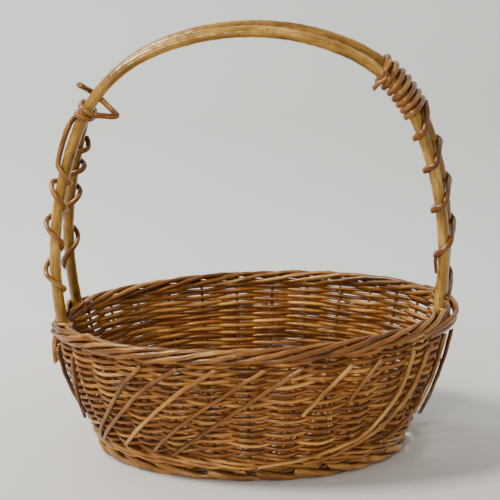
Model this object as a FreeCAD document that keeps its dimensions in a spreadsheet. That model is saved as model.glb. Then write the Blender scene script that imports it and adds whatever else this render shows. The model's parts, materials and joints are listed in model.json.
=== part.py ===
import FreeCAD, Part
import math
import os

# A willow market basket with a hoop handle of two rods. Millimetres, +Z up.
# The origin is the middle of the footprint on the surface it stands on.
# +X runs along the long side, to the right, and +Y runs to the back.
# Every piece is a round willow rod with its own route through the others.

SIZES = {
    # the oval wall, measured on the line of its stakes
    "base_half_length": 151, "base_half_width": 113, "base_level": 16,
    "rim_half_length": 192, "rim_half_width": 144, "rim_level": 134,
    "wall_bulge": 0.6, "rim_lean": 0.06,
    # uprights and the rods woven round them
    "stake_count": 31, "stake_diameter": 3.8, "stake_low_end": 14, "stake_high_end": 125.3,
    "first_stake_angle": -9.7,
    "weaver_diameter": 3.4, "weaver_rows": 27, "first_row_level": 27.6, "row_pitch": 3.7,
    "wale_diameter": 4, "wale_level": 21.4, "weave_bend_radius": 18,
    "outside_bulge": 1.1, "inside_bulge": 0.3,
    # rolled borders, each a rope of short rods
    "top_rod_diameter": 5.4, "top_rod_spread": 4.6, "top_rod_spans": 4,
    "top_rod_count": 31, "leg_opening_reach": 18, "leg_opening_slack": 2, "foot_rod_count": 22,
    "foot_rod_diameter": 6.4, "foot_rod_spread": 3.8, "foot_rod_spans": 3,
    "foot_half_length": 150.5, "foot_half_width": 111, "foot_level": 6.7,
    # the base: sticks straight in the middle and fanned out to the wall
    "long_stick_diameter": 6, "long_stick_gap": 10, "long_stick_count": 5,
    "cross_stick_diameter": 9, "cross_stick_gap": 17, "cross_stick_count": 7,
    "cross_zone_half_length": 61, "long_zone_half_width": 25, "base_rise": 1.5,
    "stick_clearance": 0.2, "stick_reach_length": 146, "stick_reach_width": 108,
    "stick_bend_radius": 60, "base_weaver_diameter": 3, "base_rings": 22, "base_bend_radius": 6,
    # the hoop handle: crown, shoulders and sides are tangent arcs
    "hoop_rod_diameter": 12, "hoop_height": 417, "hoop_half_width": 190.5, "hoop_waist_level": 195,
    "hoop_crown_radius": 235, "hoop_shoulder_radius": 135, "hoop_side_radius": 340,
    "hoop_leg_slope": 7, "hoop_leg_end": 98,
    "front_hoop_shift": -2.3, "front_hoop_place": -6.4, "front_hoop_lift": 0,
    "front_hoop_tilt": -3.2, "front_hoop_turn": 0,
    "back_hoop_shift": 4, "back_hoop_place": 6.8, "back_hoop_lift": 4,
    "back_hoop_tilt": 6, "back_hoop_turn": -1.8,
    # rods bound round the handle, and the loose rods outside the wall
    "wrap_diameter": 4.6, "binding_diameter": 5.3, "wrap_slack": 1,
    "outer_rod_diameter": 4.2, "outer_rod_slack": 2.4,
    "rod_gap": 0.4, "end_gap": 1.2,
}

# Round the handle: side of the basket, the hoop rods it holds, the size of its thickness,
# and turns and levels on the way down. Turns count from the outside of the handle, and go
# over the front if they grow less.
COILS = {
    "left_knot_rod": (-1, ("front", "back"), "wrap_diameter", [(0.1, 348), (3.1, 329)]),
    "left_wrap_rod_1": (-1, ("front",), "wrap_diameter", [
        (0.25, 320), (0, 294), (-0.45, 273), (-1, 269), (-1.45, 248), (-2, 232),
        (-2.45, 213), (-3, 186), (-3.45, 167), (-3.6, 162)]),
    "left_wrap_rod_2": (-1, ("back",), "wrap_diameter", [
        (0.4, 301), (1.5, 276), (2, 262), (2.5, 248), (3, 223), (3.5, 199), (4.2, 163)]),
    "right_binding_rod": (1, ("front", "back"), "binding_diameter", [(0, 378.5), (-7, 337.5)]),
    "right_wrap_rod": (1, ("front", "back"), "wrap_diameter", [
        (0, 329), (-0.45, 315), (-1, 296), (-1.45, 285), (-2, 257), (-2.45, 244),
        (-3, 216), (-3.45, 197), (-4.1, 160)]),
}

# Outside the wall: first angle and level, then last angle and level, of each loose rod.
OUTER_FRONT = [
    (238, 124, 204.5, 32), (249, 124, 209.5, 31), (260, 124, 222.5, 31), (273.5, 123, 236, 33),
    (284, 123, 243, 30), (298, 121, 285, 75), (307.5, 121, 299.5, 81), (320.5, 121, 300, 38),
    (332.5, 121, 323.5, 80), (343, 121, 338, 46), (213, 124, 188, 47),
]
OUTER_BACK = [
    (20, 122, 12, 50), (40, 122, 22, 64), (62, 122, 30, 32), (76, 123, 42, 32), (93, 123, 54, 32),
    (104, 123, 90, 70), (118, 123, 82, 32), (133, 123, 106, 32), (146, 123, 132, 68),
    (158, 123, 130, 32), (170, 123, 150, 42),
]
SIDES = ("right", "back", "left", "front")
LEG_STAKES = {0: ("front", 1), 2: ("back", 1), 15: ("back", -1), 17: ("front", -1)}

doc = FreeCAD.newDocument("market_basket")
sheet = doc.addObject("Spreadsheet::Sheet", "Sizes")
for row, (alias, value) in enumerate(SIZES.items(), start=1):
    sheet.set(f"A{row}", alias)
    sheet.set(f"B{row}", str(value))
    sheet.setAlias(f"B{row}", alias)
doc.recompute()
size = {alias: float(sheet.get(alias)) for alias in SIZES}
stake_count = int(size["stake_count"])
nodes = {}


def vec(x, y, z):
    return FreeCAD.Vector(x, y, z)


# ---------------------------------------------------------------- rods

def bend_path(points, bend_radius=None):
    """Straight runs joined by tangent arcs, each as large as its two runs allow."""
    edges = []
    start = points[0]
    for before, corner, after in zip(points, points[1:], points[2:]):
        run_in = corner - before
        run_out = after - corner
        turn = run_in.getAngle(run_out)
        if turn < 0.002:
            continue
        cut = 0.45 * min(run_in.Length, run_out.Length)
        if bend_radius:
            cut = min(cut, bend_radius * math.tan(turn / 2))
        radius = cut / math.tan(turn / 2)
        enter = corner - run_in.normalize() * cut
        leave = corner + run_out.normalize() * cut
        inward = (run_out - run_in).normalize()
        middle = corner + inward * radius * (1 / math.cos(turn / 2) - 1)
        edges.append(Part.LineSegment(start, enter).toShape())
        edges.append(Part.Arc(enter, middle, leave).toShape())
        start = leave
    edges.append(Part.LineSegment(start, points[-1]).toShape())
    return Part.Wire(edges)


def rod(points, diameter, bend_radius=None):
    """One round rod along the points, its volume compared with section times length."""
    path = bend_path(points, bend_radius)
    heading = points[1] - points[0]
    section = Part.Wire(Part.Circle(points[0], heading, diameter / 2).toShape())
    solid = path.makePipeShell([section], True, False)
    expected = math.pi * diameter ** 2 / 4 * path.Length
    if abs(solid.Volume - expected) > 0.01 * expected:
        raise ValueError(f"a rod's volume is {solid.Volume:.0f}, not {expected:.0f}")
    return solid


def add_node(name, solids):
    """A document object for one piece, or for a group of like pieces."""
    piece = doc.addObject("Part::Feature", name)
    piece.Shape = solids[0] if len(solids) == 1 else Part.makeCompound(solids)
    piece.Placement = FreeCAD.Placement()
    piece.Label = name
    nodes[name] = piece


# ---------------------------------------------------------------- the oval wall

def wall_axes(level):
    """Half length and half width of the stake line at a level."""
    rise = (level - size["base_level"]) / (size["rim_level"] - size["base_level"])
    flare = rise + size["wall_bulge"] * rise * (1 - rise)
    half_length = size["base_half_length"]
    half_width = size["base_half_width"]
    half_length += flare * (size["rim_half_length"] - half_length)
    half_width += flare * (size["rim_half_width"] - half_width)
    return half_length, half_width


def oval_point(half_length, half_width, angle, level, offset=0):
    """A point on an oval, moved outwards by an offset along the oval's own normal."""
    cos, sin = math.cos(math.radians(angle)), math.sin(math.radians(angle))
    normal = vec(cos / half_length, sin / half_width, 0).normalize()
    return vec(half_length * cos, half_width * sin, level) + normal * offset


def wall_point(angle, level, offset=0):
    """A point on the wall, which stands a little higher at its right end."""
    half_length, half_width = wall_axes(level)
    leaning = level * (1 + size["rim_lean"] * math.cos(math.radians(angle)))
    return oval_point(half_length, half_width, angle, leaning, offset)


def stake_angle(index):
    return size["first_stake_angle"] + index * 360 / stake_count


def side_of(angle):
    """Which side of the basket an angle lies on."""
    return SIDES[int(((angle + 45) % 360) // 90)]


# ---------------------------------------------------------------- the hoop handle

def hoop_centres():
    """Centres of the crown, shoulder and side arcs of the right half, tangent to each other."""
    crown = (0.0, size["hoop_height"] - size["hoop_crown_radius"])
    side = (size["hoop_half_width"] - size["hoop_side_radius"], size["hoop_waist_level"])
    crown_reach = size["hoop_crown_radius"] - size["hoop_shoulder_radius"]
    side_reach = size["hoop_side_radius"] - size["hoop_shoulder_radius"]
    gap = math.dist(crown, side)
    along = (crown_reach ** 2 - side_reach ** 2 + gap ** 2) / (2 * gap)
    across = math.sqrt(crown_reach ** 2 - along ** 2)
    ux, uz = (side[0] - crown[0]) / gap, (side[1] - crown[1]) / gap
    shoulder = (crown[0] + along * ux + across * uz, crown[1] + along * uz - across * ux)
    return crown, shoulder, side


CROWN, SHOULDER, SIDE = hoop_centres()
SLOPE = math.radians(size["hoop_leg_slope"])
CROWN_TURN = math.atan2(SHOULDER[0] - CROWN[0], SHOULDER[1] - CROWN[1])
SIDE_TURN = math.atan2(SHOULDER[0] - SIDE[0], SHOULDER[1] - SIDE[1])
SHOULDER_LEVEL = SIDE[1] + size["hoop_side_radius"] * math.cos(SIDE_TURN)
LEG_TOP = SIDE[1] - size["hoop_side_radius"] * math.sin(SLOPE)
LEG_TOP_HALF_WIDTH = SIDE[0] + size["hoop_side_radius"] * math.cos(SLOPE)


def arc_point(centre, radius, turn):
    """A point on one of the hoop's arcs, at a turn from straight up towards the right."""
    return centre[0] + radius * math.sin(turn), centre[1] + radius * math.cos(turn)


def hoop_section(level):
    """Half width of the hoop at a level below the crown, and its outward direction there."""
    if level < LEG_TOP:
        half_width = LEG_TOP_HALF_WIDTH - (LEG_TOP - level) * math.tan(SLOPE)
        return half_width, (math.cos(SLOPE), -math.sin(SLOPE))
    centre, radius = SIDE, size["hoop_side_radius"]
    if level > SHOULDER_LEVEL:
        centre, radius = SHOULDER, size["hoop_shoulder_radius"]
    rise = (level - centre[1]) / radius
    run = math.sqrt(1 - rise ** 2)
    return centre[0] + radius * run, (run, rise)


def hoop_place(name):
    """Where a hoop stands: turned and tilted about the middle of its crown."""
    turned = FreeCAD.Rotation(vec(0, 0, 1), size[f"{name}_hoop_turn"])
    tilted = FreeCAD.Rotation(vec(1, 0, 0), size[f"{name}_hoop_tilt"])
    crown = vec(size[f"{name}_hoop_shift"], size[f"{name}_hoop_place"],
                size["hoop_height"] + size[f"{name}_hoop_lift"])
    lower = FreeCAD.Placement(vec(0, 0, -size["hoop_height"]), FreeCAD.Rotation())
    return FreeCAD.Placement(crown, turned.multiply(tilted)).multiply(lower)


PLACES = {name: hoop_place(name) for name in ("front", "back")}


def leg_point(name, side, level):
    """The middle of a hoop's rod at a level, on the right (1) or the left (-1)."""
    return PLACES[name].multVec(vec(side * hoop_section(level)[0], 0, level))


def hoop_wire():
    """The hoop's middle line: leg, side, shoulder, crown, shoulder, side, leg."""
    foot_half_width = hoop_section(size["hoop_leg_end"])[0]
    middle_turn = (CROWN_TURN + SIDE_TURN) / 2
    low_turn = math.pi / 2 + SLOPE
    side_turns = (SIDE_TURN, (SIDE_TURN + low_turn) / 2, low_turn)
    side = [arc_point(SIDE, size["hoop_side_radius"], turn) for turn in side_turns]
    shoulder = arc_point(SHOULDER, size["hoop_shoulder_radius"], middle_turn)
    crown = arc_point(CROWN, size["hoop_crown_radius"], CROWN_TURN)
    right = [(foot_half_width, size["hoop_leg_end"])] + side[::-1] + [shoulder, crown]
    right = [vec(x, 0, z) for x, z in right]
    left = [vec(-point.x, 0, point.z) for point in right]
    top = vec(0, 0, size["hoop_height"])
    edges = [
        Part.LineSegment(right[0], right[1]), Part.Arc(right[1], right[2], right[3]),
        Part.Arc(right[3], right[4], right[5]), Part.Arc(right[5], top, left[5]),
        Part.Arc(left[5], left[4], left[3]), Part.Arc(left[3], left[2], left[1]),
        Part.LineSegment(left[1], left[0]),
    ]
    return Part.Wire([edge.toShape() for edge in edges])


def make_hoop(name):
    """One handle rod: a circle swept along the hoop's middle line."""
    path = doc.addObject("Part::Feature", f"{name}_hoop_path")
    path.Shape = hoop_wire()
    path.Placement = PLACES[name]
    start, heading = path.Shape.Edges[0].Vertexes[0].Point, path.Shape.Edges[0].tangentAt(0)
    circle = doc.addObject("Part::Circle", f"{name}_hoop_section")
    circle.setExpression("Radius", "Sizes.hoop_rod_diameter / 2")
    circle.Placement = FreeCAD.Placement(start, FreeCAD.Rotation(vec(0, 0, 1), heading))
    sweep = doc.addObject("Part::Sweep", f"handle_{name}_rod")
    sweep.Sections = [circle]
    sweep.Spine = (path, [f"Edge{number + 1}" for number in range(len(path.Shape.Edges))])
    sweep.Solid = True
    sweep.Frenet = False
    sweep.Label = f"handle_{name}_rod"
    nodes[sweep.Label] = sweep


# ---------------------------------------------------------------- rods bound round the handle

def coil_point(side, held, diameter, level, turn):
    """A point on a coil round the held hoop rods, turn in full turns from the outside."""
    run, rise = hoop_section(level)[1]
    along = vec(-side * rise, 0, run)
    front, back = leg_point("front", side, level), leg_point("back", side, level)
    across = (back - front) - along * (back - front).dot(along)
    middle, half = front + across * 0.5, across.Length / 2
    if len(held) == 1:
        middle, half = leg_point(held[0], side, level), 0
    across.normalize()
    outward = across.cross(along) * side
    clear = (size["hoop_rod_diameter"] + diameter) / 2 + size["rod_gap"] + size["wrap_slack"]
    cos, sin = math.cos(2 * math.pi * turn), math.sin(2 * math.pi * turn)
    nearer_rod = max(-1, min(1, 2 * sin))
    return middle + outward * (cos * clear) + across * (sin * clear + nearer_rod * half)


def coil(name, side, held, diameter, stages):
    """A rod wound down the handle through its stages of turn and level."""
    steps_per_turn = 12
    points = []
    for (turn, level), (next_turn, next_level) in zip(stages, stages[1:]):
        steps = max(1, round(abs(next_turn - turn) * steps_per_turn))
        for step in range(steps):
            share = step / steps
            points.append(coil_point(side, held, diameter, level + share * (next_level - level),
                                     turn + share * (next_turn - turn)))
    points.append(coil_point(side, held, diameter, stages[-1][1], stages[-1][0]))
    add_node(name, [rod(points, diameter)])


# ---------------------------------------------------------------- the weave

def support(index, level):
    """Centre and radius of the upright that stands at a stake place at a level."""
    index %= stake_count
    angle = stake_angle(index)
    lean = 1 + size["rim_lean"] * math.cos(math.radians(angle))
    if index in LEG_STAKES and level * lean > size["hoop_leg_end"] - 3:
        name, side = LEG_STAKES[index]
        leg = leg_point(name, side, level * lean)
        return vec(leg.x, leg.y, level * lean), size["hoop_rod_diameter"] / 2
    return wall_point(angle, level), size["stake_diameter"] / 2


def weave(sides, levels, diameter, first):
    """A rod round the uprights: outside where sides has 1, inside where it has -1."""
    points = []
    for step, (side, level) in enumerate(zip(sides, levels)):
        centre, radius = support(first + step, level)
        angle = stake_angle(first + step)
        half_length, half_width = wall_axes(level)
        outward = vec(math.cos(math.radians(angle)) / half_length,
                      math.sin(math.radians(angle)) / half_width, 0).normalize()
        bulge = size["outside_bulge" if side > 0 else "inside_bulge"]
        away = radius + diameter / 2 + size["rod_gap"] + bulge
        points.append(centre + outward * (side * away))
    ends = [(points[0], points[1]), (points[-1], points[-2])]
    points[0], points[-1] = [end + (inner - end).normalize() * size["end_gap"] for end, inner in ends]
    return rod(points, diameter, size["weave_bend_radius"])


def make_side_weavers():
    """One rod a turn, in a rising spiral; the odd number of stakes makes rows alternate."""
    for row in range(int(size["weaver_rows"])):
        first = row * stake_count
        steps = range(stake_count + 1)
        sides = [1 if (first + step) % 2 else -1 for step in steps]
        turns = [row + step / stake_count for step in steps]
        levels = [size["first_row_level"] + (turn - 0.5) * size["row_pitch"] for turn in turns]
        solid = weave(sides, levels, size["weaver_diameter"], 0)
        add_node(f"side_weaver_{row + 1:02d}", [solid])


def make_wale():
    """Three thicker rods, each before two stakes and behind one, rolling over each other."""
    half_height = size["wale_diameter"] / 2 + size["rod_gap"] / 2
    for number in range(3):
        sides, levels = [], []
        for step in range(stake_count + 1):
            phase = (step - number) % 3
            sides.append(-1 if phase == 0 else 1)
            levels.append(size["wale_level"] + (0, half_height, -half_height)[phase])
        solid = weave(sides, levels, size["wale_diameter"], 3 * number)
        add_node(f"wale_rod_{number + 1}", [solid])


def make_stakes():
    """The uprights, which end below a handle leg where one stands over them."""
    groups = {side: [] for side in SIDES}
    for index in range(stake_count):
        angle = stake_angle(index)
        top = size["stake_high_end"]
        if index in LEG_STAKES:
            top = size["hoop_leg_end"] / (1 + size["rim_lean"] * math.cos(math.radians(angle))) - 5
        levels = [size["stake_low_end"] + share * (top - size["stake_low_end"])
                  for share in (0, 0.25, 0.5, 0.75, 1)]
        solid = rod([wall_point(angle, level) for level in levels], size["stake_diameter"])
        groups[side_of(angle)].append(solid)
    for side, solids in groups.items():
        add_node(f"stakes_{side}", solids)


# ---------------------------------------------------------------- rolled borders

def leg_spread(centre):
    """How strongly a border opens to let a handle leg through, that leg and its angle."""
    best = (0, centre, 0)
    for index, (name, side) in LEG_STAKES.items():
        leg = leg_point(name, side, centre.z)
        weight = math.exp(-((leg - centre).Length / size["leg_opening_reach"]) ** 2)
        best = max(best, (weight, leg, stake_angle(index)), key=lambda found: found[0])
    return best


def border_point(axes, angle, level, lean, spread, turn, turns_per_degree, legs):
    """A point on a border's rope, turn in full turns from its outer side.

    Near a handle leg a rod keeps to the side of it that its turn gives it at the leg.
    """
    raised = level * (1 + lean * math.cos(math.radians(angle)))
    centre = oval_point(*axes, angle, raised)
    outward = (oval_point(*axes, angle, raised, 1) - centre)
    out, up = math.cos(2 * math.pi * turn) * spread, math.sin(2 * math.pi * turn) * spread
    if legs:
        weight, leg, leg_angle = leg_spread(centre)
        turn += turns_per_degree * ((leg_angle - angle + 180) % 360 - 180)
        aside = (size["hoop_rod_diameter"] + size["top_rod_diameter"]) / 2 + size["rod_gap"]
        above = (size["top_rod_diameter"] + size["leg_opening_slack"]) / 2
        aside = math.copysign(aside + size["leg_opening_slack"], math.cos(2 * math.pi * turn))
        above = math.copysign(above, math.sin(2 * math.pi * turn))
        out += weight * (aside - out)
        up += weight * (above - up)
        centre += (leg - centre) * weight
    return centre + outward * out + vec(0, 0, up)


def border_rods(name, axes, level, lean, first_turn, roll, legs=False):
    """Short rods in a rope, each rolled once round it over its spans, roll 1 or -1."""
    groups = {side: [] for side in SIDES}
    count, spans = int(size[f"{name}_rod_count"]), int(size[f"{name}_rod_spans"])
    steps = 4 * spans
    for index in range(count):
        points = []
        for step in range(steps + 1):
            share = step / steps
            angle = size["first_stake_angle"] + (index + share * spans) * 360 / count
            turn = first_turn + roll * share
            points.append(border_point(axes, angle, level, lean, size[f"{name}_rod_spread"], turn,
                                       roll * count / (360 * spans), legs))
        points[-1] += (points[-2] - points[-1]).normalize() * size["end_gap"]
        middle_angle = size["first_stake_angle"] + (index + spans / 2) * 360 / count
        groups[side_of(middle_angle)].append(rod(points, size[f"{name}_rod_diameter"]))
    return groups


def make_top_border():
    """The rim's rods, which roll from the outside over the top to the inside."""
    axes = (size["rim_half_length"], size["rim_half_width"])
    groups = border_rods("top", axes, size["rim_level"], size["rim_lean"], -0.2, 1, legs=True)
    for side, solids in groups.items():
        add_node(f"top_border_{side}", solids)


def make_foot_border():
    """The foot's rods, worn flat where they stand."""
    axes = (size["foot_half_length"], size["foot_half_width"])
    groups = border_rods("foot", axes, size["foot_level"], 0, 0.12, -1)
    worn_depth = 20
    worn = Part.makeBox(400, 400, worn_depth, vec(-200, -200, -worn_depth))
    for side, solids in groups.items():
        add_node(f"foot_border_{side}", [solid.cut(worn).Solids[0] for solid in solids])


# ---------------------------------------------------------------- the base

def base_sticks():
    """Every stick's bend and end at each of its two ends: straight in the middle, then fanned."""
    long_count, cross_count = int(size["long_stick_count"]), int(size["cross_stick_count"])
    fan = 360 / (2 * (long_count + cross_count))
    level = size["base_level"] + size["base_rise"]
    half_length, half_width = size["stick_reach_length"], size["stick_reach_width"]
    long_sticks, cross_sticks = [], []
    for number in range(long_count):
        place = number - (long_count - 1) / 2
        bend = vec(size["cross_zone_half_length"], place * size["long_stick_gap"], level)
        end = oval_point(half_length, half_width, place * fan, level)
        long_sticks.append([(end, bend), (vec(-end.x, end.y, level), vec(-bend.x, bend.y, level))])
    for number in range(cross_count):
        place = number - (cross_count - 1) / 2
        bend = vec(place * size["cross_stick_gap"], size["long_zone_half_width"], level)
        end = oval_point(half_length, half_width, 90 - place * fan, level)
        cross_sticks.append([(end, bend), (vec(end.x, -end.y, level), vec(bend.x, -bend.y, level))])
    return long_sticks, cross_sticks


def stick(ends, diameter):
    """One base stick, gently bent at the edge of the middle."""
    (first_end, first_bend), (last_end, last_bend) = ends
    return rod([first_end, first_bend, last_bend, last_end], diameter, size["stick_bend_radius"])


def make_base_sticks():
    """Long sticks run through bores in the thicker cross sticks."""
    long_sticks, cross_sticks = base_sticks()
    bore = size["long_stick_diameter"] + 2 * size["stick_clearance"]
    bores = Part.makeCompound([stick(ends, bore) for ends in long_sticks])
    bored = [stick(ends, size["cross_stick_diameter"]).cut(bores).Solids[0] for ends in cross_sticks]
    add_node("base_long_sticks", [stick(ends, size["long_stick_diameter"]) for ends in long_sticks])
    add_node("base_cross_sticks", bored)


def make_base_weave():
    """Rings, each over one stick end and under the next, opposite to its neighbours."""
    long_sticks, cross_sticks = base_sticks()
    crossings = [(pair, size["long_stick_diameter"]) for ends in long_sticks for pair in ends]
    crossings += [(pair, size["cross_stick_diameter"]) for ends in cross_sticks for pair in ends]
    crossings.sort(key=lambda crossing: math.atan2(crossing[0][0].y, crossing[0][0].x))
    rings = int(size["base_rings"])
    solids = []
    for ring in range(rings):
        share = (ring + 0.5) / rings
        points = []
        for step, ((end, bend), diameter) in enumerate(crossings):
            away = (diameter + size["base_weaver_diameter"]) / 2 + size["rod_gap"]
            side = 1 if (step + ring) % 2 else -1
            points.append(bend + (end - bend) * share + vec(0, 0, side * away))
        middle = (points[-1] + points[0]) * 0.5
        tip = (points[0] - points[-1]).normalize() * size["end_gap"]
        points = [middle + tip] + points + [middle - tip]
        solids.append(rod(points, size["base_weaver_diameter"], size["base_bend_radius"]))
    add_node("base_weave_rings", solids)


# ---------------------------------------------------------------- loose rods outside the wall

def make_outer_rods():
    """Rods tucked under the top border that lie slanting down the outside of the wall."""
    away = (size["stake_diameter"] + size["outer_rod_diameter"]) / 2 + size["weaver_diameter"]
    away += size["outer_rod_slack"]
    droop = 1.15
    for name, table in (("front", OUTER_FRONT), ("back", OUTER_BACK)):
        solids = []
        for first_angle, first_level, last_angle, last_level in table:
            points = []
            for share in (0, 0.2, 0.4, 0.6, 0.8, 1):
                angle = first_angle + share * (last_angle - first_angle)
                level = first_level + share ** droop * (last_level - first_level)
                points.append(wall_point(angle, level, away))
            solids.append(rod(points, size["outer_rod_diameter"]))
        add_node(f"outer_rods_{name}", solids)


# ---------------------------------------------------------------- build, check and write

make_hoop("front")
make_hoop("back")
for name, (side, held, thickness, stages) in COILS.items():
    coil(name, side, held, size[thickness], stages)
make_stakes()
make_wale()
make_side_weavers()
make_top_border()
make_foot_border()
make_base_sticks()
make_base_weave()
make_outer_rods()
doc.recompute()

for item in doc.Objects:
    if "Invalid" in item.State or "Error" in item.State:
        raise RuntimeError(f"{item.Name} failed: {item.State}")
os.makedirs("parts", exist_ok=True)
for name, piece in nodes.items():
    if piece.Shape.isNull() or not piece.Shape.isValid():
        raise RuntimeError(f"{name} has no valid shape")
    piece.Shape.exportStep(f"parts/{name}.step")
    print(name, len(piece.Shape.Solids), "solids", round(piece.Shape.Volume), "mm3")
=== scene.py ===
import json
import math

import bpy
import numpy as np
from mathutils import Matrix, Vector

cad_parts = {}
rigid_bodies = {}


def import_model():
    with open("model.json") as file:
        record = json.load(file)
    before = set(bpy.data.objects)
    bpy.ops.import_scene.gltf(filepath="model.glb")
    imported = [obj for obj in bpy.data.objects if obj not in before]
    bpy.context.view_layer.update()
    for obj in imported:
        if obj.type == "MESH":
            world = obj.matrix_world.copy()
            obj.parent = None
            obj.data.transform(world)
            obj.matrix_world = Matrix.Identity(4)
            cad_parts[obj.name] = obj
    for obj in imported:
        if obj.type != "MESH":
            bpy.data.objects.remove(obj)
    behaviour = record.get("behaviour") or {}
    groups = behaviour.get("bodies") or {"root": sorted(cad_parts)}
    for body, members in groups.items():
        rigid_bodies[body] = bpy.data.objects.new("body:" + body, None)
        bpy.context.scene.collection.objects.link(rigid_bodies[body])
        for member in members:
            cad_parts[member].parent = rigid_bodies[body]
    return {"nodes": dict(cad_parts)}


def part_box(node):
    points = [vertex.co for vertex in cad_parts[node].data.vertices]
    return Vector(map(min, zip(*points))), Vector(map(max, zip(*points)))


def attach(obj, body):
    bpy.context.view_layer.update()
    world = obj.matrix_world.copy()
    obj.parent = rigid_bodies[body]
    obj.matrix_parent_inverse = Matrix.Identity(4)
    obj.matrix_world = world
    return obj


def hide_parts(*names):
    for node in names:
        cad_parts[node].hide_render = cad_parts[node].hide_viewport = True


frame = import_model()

# A willow market basket. Every rod is modelled as a tapering willow rod on its own route.
# Metres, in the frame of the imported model: +X right, +Y back, +Z up.

for thing in list(bpy.data.objects):
    if thing.name in {"Cube", "Light", "Camera"}:
        bpy.data.objects.remove(thing)
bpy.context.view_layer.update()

rng = np.random.default_rng(7)
TAU = 2 * math.pi


def node_names(*starts):
    """Names of the CAD nodes that start with any of these words."""
    return sorted(name for name in frame["nodes"] if name.startswith(starts))


def nodes_box(*starts):
    """Lowest and highest corner round a family of CAD nodes."""
    corners = [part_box(name) for name in node_names(*starts)]
    low = np.min([np.array(low) for low, high in corners], axis=0)
    high = np.max([np.array(high) for low, high in corners], axis=0)
    return low, high


# ---------------------------------------------------------------- sizes

STAKES = 31
FIRST_STAKE = -9.7
STAKE_RADIUS = 0.0018
STAKE_LOW, STAKE_HIGH = 0.009, 0.133
STAKE_POINTS = 8
WEAVER_RADIUS = 0.0021
ROWS = len(node_names("side_weaver"))
ROW_PITCH = 0.0037
FIRST_ROW = 0.029
BASE_LEVEL = 0.016
RIM_LEAN = 0.06
WALL_BULGE = 0.6
BORDER_SPREAD, BORDER_RADIUS = 0.0050, 0.00255
FOOT_SPREAD, FOOT_RADIUS, FOOT_RODS = 0.0038, 0.0032, 22

foot_low, foot_high = nodes_box("foot_border")
front_low, front_high = nodes_box("handle_front_rod")

RIM_HALF_LENGTH = 0.192
RIM_HALF_WIDTH = 0.144
RIM_LEVEL = 0.134
BASE_HALF_LENGTH = 0.151
BASE_HALF_WIDTH = 0.113
FOOT_HALF_LENGTH = (foot_high[0] - foot_low[0]) / 2 - FOOT_SPREAD - FOOT_RADIUS
FOOT_HALF_WIDTH = (foot_high[1] - foot_low[1]) / 2 - FOOT_SPREAD - FOOT_RADIUS
FOOT_LEVEL = 0.0067

HANDLE_RADIUS = 0.006
HOOP_HEIGHT = front_high[2] - HANDLE_RADIUS
HOOP_HALF_WIDTH = (front_high[0] - front_low[0]) / 2 - HANDLE_RADIUS
HOOP_WAIST = 0.195
CROWN_RADIUS = 0.235
SHOULDER_RADIUS = 0.135
SIDE_RADIUS = 0.340
LEG_SLOPE = math.radians(7)
LEG_END = 0.098
# each hoop's shift to the right, place to the back, lift, and tilt and turn in degrees
HOOPS = {
    "front": ((front_low[0] + front_high[0]) / 2, -0.0064, 0.0, -3.2, 0.0),
    "back": (0.004, 0.0068, 0.004, 6.0, -1.8),
}
# the knot pulls the back rod to the left, behind the front one
KNOT_PULL, KNOT_PULL_LEVEL, KNOT_PULL_REACH = 0.0045, 0.330, 0.032
# the stakes that the legs take the place of, with each leg's rod and side
LEG_STAKES = {0: ("front", 1), 2: ("back", 1), 15: ("back", -1), 17: ("front", -1)}
WRAP_RADIUS, BINDING_RADIUS = 0.0026, 0.0027
WRAP_SLACK = 0.0014


# ---------------------------------------------------------------- materials

def linear(red, green, blue):
    """A colour given as 0 to 255 display values, as linear light."""
    def one(value):
        value /= 255
        return value / 12.92 if value <= 0.04045 else ((value + 0.055) / 1.055) ** 2.4
    return one(red), one(green), one(blue), 1.0


class Nodes:
    """A short way to add shader nodes and join them."""

    def __init__(self, name):
        self.material = bpy.data.materials.new(name)
        self.material.use_nodes = True
        self.tree = self.material.node_tree
        self.shader = self.tree.nodes["Principled BSDF"]

    def add(self, kind, inputs=None, **settings):
        node = self.tree.nodes.new(kind)
        for key, value in settings.items():
            setattr(node, key, value)
        for key, value in (inputs or {}).items():
            if isinstance(value, bpy.types.NodeSocket):
                self.tree.links.new(value, node.inputs[key])
            else:
                node.inputs[key].default_value = value
        return node

    def attribute(self, name):
        return self.add("ShaderNodeAttribute", attribute_name=name)

    def noise(self, vector, scale, detail=2.0, roughness=0.5):
        inputs = {"Vector": vector, "Scale": scale, "Detail": detail, "Roughness": roughness}
        return self.add("ShaderNodeTexNoise", inputs).outputs["Fac"]

    def scaled(self, vector, factors):
        inputs = {0: vector, 1: factors}
        return self.add("ShaderNodeVectorMath", inputs, operation="MULTIPLY").outputs[0]

    def math(self, operation, first, second):
        return self.add("ShaderNodeMath", {0: first, 1: second}, operation=operation).outputs[0]

    def map(self, value, low, high, to_low, to_high):
        inputs = {"Value": value, "From Min": low, "From Max": high,
                  "To Min": to_low, "To Max": to_high}
        return self.add("ShaderNodeMapRange", inputs).outputs["Result"]

    def mix(self, factor, first, second, blend="MIX"):
        node = self.add("ShaderNodeMix", data_type="RGBA", blend_type=blend)
        for socket, value in ((0, factor), (6, first), (7, second)):
            if isinstance(value, bpy.types.NodeSocket):
                self.tree.links.new(value, node.inputs[socket])
            else:
                node.inputs[socket].default_value = value
        return node.outputs[2]

    def ramp(self, value, stops):
        node = self.add("ShaderNodeValToRGB", {"Fac": value})
        elements = node.color_ramp.elements
        while len(elements) < len(stops):
            elements.new(0.5)
        for element, (place, colour) in zip(elements, stops):
            element.position = place
            element.color = colour
        return node.outputs["Color"]

    def join(self, output, socket):
        self.tree.links.new(output, self.shader.inputs[socket])


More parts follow.
